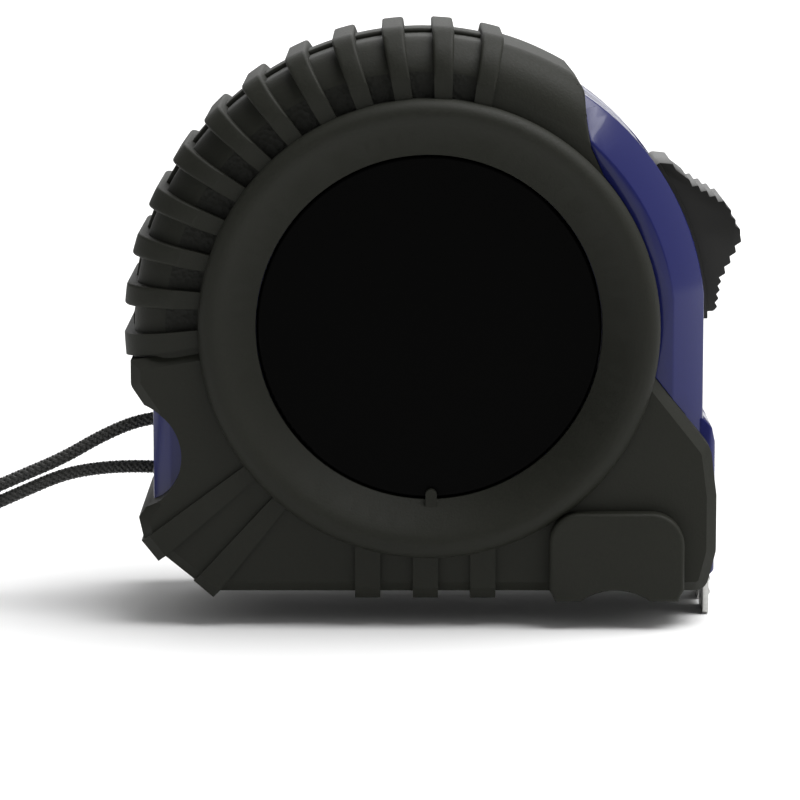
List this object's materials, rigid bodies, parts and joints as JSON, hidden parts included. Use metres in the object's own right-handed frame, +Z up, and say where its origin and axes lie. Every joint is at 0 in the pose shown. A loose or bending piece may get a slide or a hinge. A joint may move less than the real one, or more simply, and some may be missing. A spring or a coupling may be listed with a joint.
{
  "type": "pocket tape measure",
  "caption": "Pocket tape measure with a steel blade, end hook, thumb lock, rubber jacket, belt clip and wrist strap.",
  "frame": {"origin": "on the base plane that the three bottom ribs stand on, straight below the hub axis and midway across the case", "axes": "+X the way the blade comes out, +Y along the hub axis towards the belt clip, +Z up"},
  "size_m": [0.1824, 0.0375, 0.0688],
  "materials": {
    "blue_plastic": "gloss moulded, bevelled edges",
    "rubber": "matt soft-touch rubber",
    "black_label": "satin black, plain",
    "screw_steel": "zinc plated",
    "black_plastic": "moulded",
    "spring_steel": "satin plated spring steel",
    "pin_steel": "plain pin",
    "grey_plastic": "pale grey moulding",
    "reel_plastic": "moulded",
    "dark_spring": "blued spring steel",
    "blade_paint": "yellow lacquered steel",
    "rivet_steel": "bright, hollow ends",
    "hook_steel": "nickel plated",
    "lock_plastic": "dark grey, ridged",
    "cord_fabric": "braided cord",
    "crimp_metal": "bright folded sleeve",
    "webbing": "black woven webbing"
  },
  "bodies": {
    "case": {"case_shell_left": "blue_plastic", "case_shell_right": "blue_plastic", "rubber_jacket": "rubber", "label_disc_left": "black_label", "label_disc_right": "black_label", "case_screws": "screw_steel", "arbor": "black_plastic", "arbor_screw": "screw_steel", "belt_clip": "spring_steel", "belt_clip_screw": "screw_steel", "strap_pin": "pin_steel", "mouth_guide": "grey_plastic", "strap_cord": "cord_fabric", "strap_crimp": "crimp_metal", "wrist_band": "webbing"},
    "drum": {"spool": "reel_plastic", "spool_cover": "reel_plastic", "return_spring": "dark_spring", "blade_coil": "blade_paint"},
    "blade": {"blade_strip": "blade_paint", "hook_rivets": "rivet_steel"},
    "hook": {"end_hook": "hook_steel"},
    "lock": {"lock_button": "lock_plastic", "lock_shoe": "lock_plastic"}
  },
  "joints": [
    {"name": "drum_spin", "type": "hinge", "parent": "case", "child": "drum", "pos_m": [0, 0, 0.0313], "axis": [0, -1, 0], "range_deg": [0, 120], "stiffness_Nm_per_rad": 0.01, "springref_deg": -114.59},
    {"name": "blade_slide", "type": "slide", "parent": "case", "child": "blade", "axis": [1, 0, 0], "range_m": [0, 0.0455]},
    {"name": "hook_play", "type": "slide", "parent": "blade", "child": "hook", "axis": [1, 0, 0], "range_m": [0, 0.0007]},
    {"name": "lock_slide", "type": "hinge", "parent": "case", "child": "lock", "pos_m": [0, 0, 0.0313], "axis": [0, 1, 0], "range_deg": [0, 12]}
  ],
  "couplings": [
    {"joint": "blade_slide", "follows": "drum_spin", "m_per_rad": 0.0215}
  ]
}
